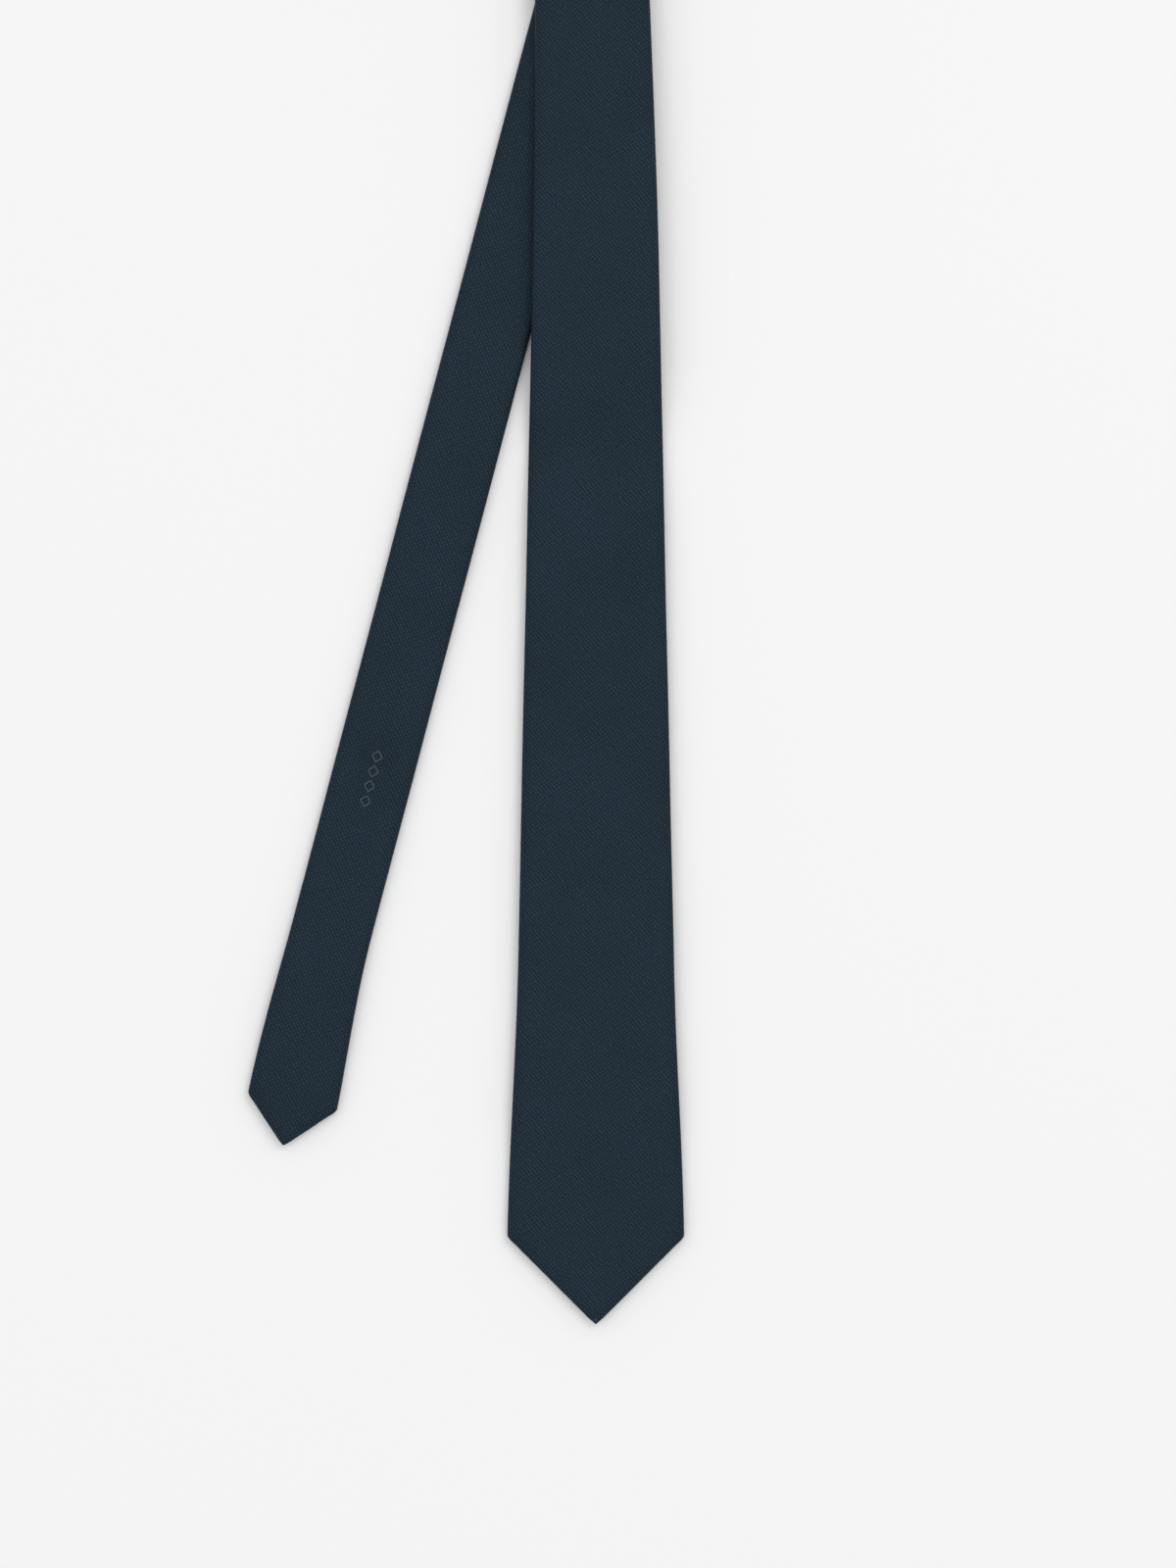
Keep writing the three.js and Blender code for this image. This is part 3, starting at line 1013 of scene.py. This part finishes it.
up = Vector((0.0, 0.0, 1.0))
stitch_start = front_tack + stitch_clear
stitch_end = total_length - tail_tack - stitch_clear
stitch_stretches = (
    ("front_slip_stitch_thread", stitch_start, front_length - seam_gap),
    ("neck_slip_stitch_thread", front_length + seam_gap, neck_end - seam_gap),
    ("tail_slip_stitch_thread", neck_end + seam_gap, stitch_end),
)
seam_threads = {}
for name, first, last in stitch_stretches:
    seam_threads[name] = thread_piece(
        name, [(slip_stitch(first, last), stitch_radius, up)], silk_thread)
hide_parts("front_slip_stitch_lower", "front_slip_stitch_upper")
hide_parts("neck_slip_stitch")
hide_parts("tail_slip_stitch_upper", "tail_slip_stitch_lower")
bend_front(seam_threads["front_slip_stitch_thread"])
bend_tail(seam_threads["tail_slip_stitch_thread"])
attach(seam_threads["neck_slip_stitch_thread"], "neck")


# ==== Bar tacks ===========================================================================
# Where the seam opens towards each point, a bar of thread holds the flaps together: a few long
# threads across the seam, with a finer thread wound closely round them.

tack_width = 8 * mm
tack_core_radius = 0.16 * mm
tack_core_count = 4
tack_core_pitch = 0.36 * mm
tack_core_steps = 12
tack_wrap_radius = 0.08 * mm
tack_wrap_pitch = 0.24 * mm
tack_wrap_steps = 10
tack_bare_turns = 3
tack_wrap_long = 0.78 * mm
tack_wrap_high = 0.2 * mm
tack_level = -0.33 * mm
tack_length = 2 * mm


def bar_tack(name, middle):
    threads = []
    for i in range(tack_core_count):
        s = middle + (i - (tack_core_count - 1) / 2) * tack_core_pitch
        core = []
        for step in range(tack_core_steps + 1):
            r = (step - tack_core_steps // 2) * tack_width / tack_core_steps
            core.append(lay(s, r, tack_level))
        threads.append((core, tack_core_radius, up))
    wraps = int(tack_width / tack_wrap_pitch) - tack_bare_turns
    across = (lay(middle, mm, 0.0) - lay(middle, 0.0, 0.0)).normalized()
    for i in range(wraps):
        r = (i - (wraps - 1) / 2) * tack_wrap_pitch
        ring = []
        for turn in range(tack_wrap_steps + 1):
            angle = 2 * math.pi * turn / tack_wrap_steps
            shift = tack_wrap_pitch * turn / tack_wrap_steps
            ring.append(lay(middle + tack_wrap_long * math.cos(angle), r + shift,
                            tack_level + tack_wrap_high * math.sin(angle)))
        threads.append((ring, tack_wrap_radius, across))
    return thread_piece(name, threads, silk_thread)


front_bar = bar_tack("front_bar_tack_thread", front_tack + tack_length / 2)
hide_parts("front_bar_tack")
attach(front_bar, "front_lower")
tail_bar = bar_tack("tail_bar_tack_thread", total_length - tail_tack - tack_length / 2)
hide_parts("tail_bar_tack")
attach(tail_bar, "tail_lower")


# ==== Keeper loop =========================================================================
# A band of the same silk, folded lengthwise so that its cut edges meet inside. It is sewn down
# at both ends across the back of the front blade, with room for the tail to slip through.

keeper_at = 200 * mm
keeper_width = 13 * mm
keeper_span = 48 * mm
keeper_level = -0.45 * mm
keeper_slack = 0.35 * mm
keeper_wall = 0.25 * mm
keeper_fold = 0.17 * mm
keeper_cut_gap = 0.2 * mm
keeper_stitch_pitch = 1.4 * mm
keeper_stitch_length = 2.2 * mm
keeper_stitch_lift = 0.3 * mm
keeper_stitch_side = 4


def folded_band(t, flat, fold):
    """A strip folded back on itself at both sides: the place across and the height of t."""
    side = math.copysign(1.0, t)
    d = abs(t)
    if d <= flat:
        return t, -fold
    if d <= flat + math.pi * fold:
        angle = (d - flat) / fold
        return side * (flat + fold * math.sin(angle)), -fold * math.cos(angle)
    return side * (2 * flat + math.pi * fold - d), fold


def keeper_band():
    flat = keeper_width / 2 - keeper_fold - keeper_wall / 2
    cut = 2 * flat + math.pi * keeper_fold - keeper_cut_gap
    columns = 44
    rows = 40

    def vertex(column, row):
        t = mix(-cut, cut, column / columns)
        along, height = folded_band(t, flat, keeper_fold)
        share = row / rows
        slack = keeper_slack * ease(4 * min(share, 1 - share))
        r = mix(keeper_span / 2, -keeper_span / 2, share)
        return lay(keeper_at + along, r, keeper_level - slack + height), (t, r)

    piece = cloth_grid("keeper_loop_band", columns, rows, vertex)
    thicken(piece, keeper_wall)
    piece.data.materials.append(silk)
    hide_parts("keeper_loop")
    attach(piece, "front_lower")


keeper_band()


end_stitch_steps = 6
end_stitch_arch = 0.12 * mm
end_stitch_radius = 0.11 * mm


def sewn_row(places, length, along_tie, level):
    """Small stitches side by side: a short arched thread over each place (s, r)."""
    threads = []
    for s, r in places:
        route = []
        for i in range(end_stitch_steps + 1):
            share = i / end_stitch_steps - 0.5
            height = level - end_stitch_arch * math.cos(math.pi * share)
            if along_tie:
                route.append(lay(s + share * length, r, height))
            else:
                route.append(lay(s, r + share * length, height))
        threads.append((route, end_stitch_radius, up))
    return threads


keeper_stitches = []
for r in (-keeper_span / 2, keeper_span / 2):
    steps = range(-keeper_stitch_side, keeper_stitch_side + 1)
    places = [(keeper_at + i * keeper_stitch_pitch, r) for i in steps]
    keeper_stitches += sewn_row(places, keeper_stitch_length, False, keeper_level - keeper_stitch_lift)
keeper_ends = thread_piece("keeper_loop_stitches", keeper_stitches, silk_thread)
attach(keeper_ends, "front_lower")


# ==== Labels ==============================================================================
# A dark woven label is sewn across the back above the keeper, its two ends folded under, and a
# pale care tape hangs from one sewn end above it. Both are blank.

maker_from = 236 * mm
maker_to = 260 * mm
maker_span = 46 * mm
care_from = 290 * mm
care_to = 316 * mm
care_width = 18 * mm
label_level = -0.275 * mm
label_wall = 0.1 * mm
label_fold = 0.065 * mm
label_turn = 5 * mm
care_wall = 0.2 * mm
care_curl = 0.12 * mm
label_stitch_length = 1.8 * mm
maker_stitch_count = 10
maker_stitch_lift = 0.1 * mm
care_stitch_count = 9
care_stitch_lift = 0.08 * mm

label_satin = woven_satin(
    "label_satin", (0.012, 0.018, 0.027), (0.030, 0.042, 0.058), pitch=0.5 * mm, roughness=0.4)
care_satin = woven_satin(
    "care_tape_satin", (0.60, 0.60, 0.57), (0.80, 0.80, 0.77), pitch=0.45 * mm, roughness=0.42)


def maker_label():
    flat = maker_span / 2 - label_fold - label_wall / 2
    cut = flat + math.pi * label_fold + label_turn
    columns = 60
    rows = 14

    def vertex(column, row):
        t = mix(cut, -cut, column / columns)
        across, height = folded_band(t, flat, label_fold)
        s = mix(maker_from, maker_to, row / rows)
        return lay(s, across, label_level + height), (t, s)

    piece = cloth_grid("maker_label_cloth", columns, rows, vertex)
    thicken(piece, label_wall)
    piece.data.materials.append(label_satin)
    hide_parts("maker_label")
    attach(piece, "front_lower")


def care_tape():
    columns = 12
    rows = 20

    def vertex(column, row):
        s = mix(care_from, care_to, row / rows)
        r = mix(care_width / 2, -care_width / 2, column / columns)
        curl = care_curl * (1 - row / rows) ** 2
        return lay(s, r, label_level - curl), (r, s)

    piece = cloth_grid("care_label_tape", columns, rows, vertex)
    thicken(piece, care_wall)
    piece.data.materials.append(care_satin)
    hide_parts("care_label")
    bend_front(piece)


maker_label()
care_tape()

label_stitches = []
for r in (-maker_span / 2, maker_span / 2):
    shares = [(i + 0.5) / maker_stitch_count for i in range(maker_stitch_count)]
    places = [(mix(maker_from, maker_to, share), r) for share in shares]
    label_stitches += sewn_row(places, label_stitch_length, False, label_level - maker_stitch_lift)
label_ends = thread_piece("maker_label_stitches", label_stitches, silk_thread)
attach(label_ends, "front_lower")

shares = [(i + 0.5) / care_stitch_count for i in range(care_stitch_count)]
care_places = [(care_to, mix(-care_width / 2, care_width / 2, share)) for share in shares]
care_stitches = sewn_row(care_places, label_stitch_length, True, label_level - care_stitch_lift)
care_end = thread_piece("care_label_stitches", care_stitches, silk_thread)
bend_front(care_end)


# ==== Figure on the tail ==================================================================
# Four small lozenge outlines in a row along the tail, worked in a paler grey-green thread. Each
# side of a lozenge is a close row of short slanting stitches. The same thread closes the very
# tip of the front point.

figure_count = 4
figure_pitch = 6.1 * mm
figure_length = 4.5 * mm
figure_width = 4.2 * mm
figure_stitches = 8
figure_stitch_length = 0.85 * mm
figure_radius = 0.13 * mm
figure_steps = 4
figure_arch = 0.1 * mm
figure_sink = 0.02 * mm
figure_thread = twisted_thread("figure_thread", (0.040, 0.067, 0.074), (0.070, 0.103, 0.112))


def on_cloth(s, r, above):
    """A point a given height above the front face of the cloth."""
    return lay(s, r, fold_round(s, r)[1] + cloth / 2 + above)


def lozenge(centre):
    threads = []
    half_long = figure_length / 2
    half_wide = figure_width / 2
    corners = [(half_long, 0.0), (0.0, half_wide), (-half_long, 0.0), (0.0, -half_wide)]
    for (s0, r0), (s1, r1) in zip(corners, corners[1:] + corners[:1]):
        for i in range(figure_stitches):
            share = (i + 0.5) / figure_stitches
            s = centre + mix(s0, s1, share)
            r = mix(r0, r1, share)
            route = []
            for step in range(figure_steps + 1):
                along = step / figure_steps - 0.5
                above = figure_arch * math.cos(math.pi * along) - figure_sink
                route.append(on_cloth(s + along * figure_stitch_length, r, above))
            threads.append((route, figure_radius, up))
    return threads


figure_threads = []
for i in range(figure_count):
    figure_threads += lozenge(mark_place + (i - (figure_count - 1) / 2) * figure_pitch)
figure = thread_piece("tail_lozenge_figure", figure_threads, figure_thread)
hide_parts("tail_motif")
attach(figure, "tail_lower")

tip_places = (1.9 * mm, 2.5 * mm)
tip_half = 0.45 * mm
tip_above = 0.02 * mm
tip_radius = 0.12 * mm
tip_threads = []
for s in tip_places:
    route = [on_cloth(s, share * tip_half, tip_above) for share in (-1, -0.5, 0, 0.5, 1)]
    tip_threads.append((route, tip_radius, up))
tip_catch = thread_piece("front_tip_catch_stitch", tip_threads, figure_thread)
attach(tip_catch, "front_lower")
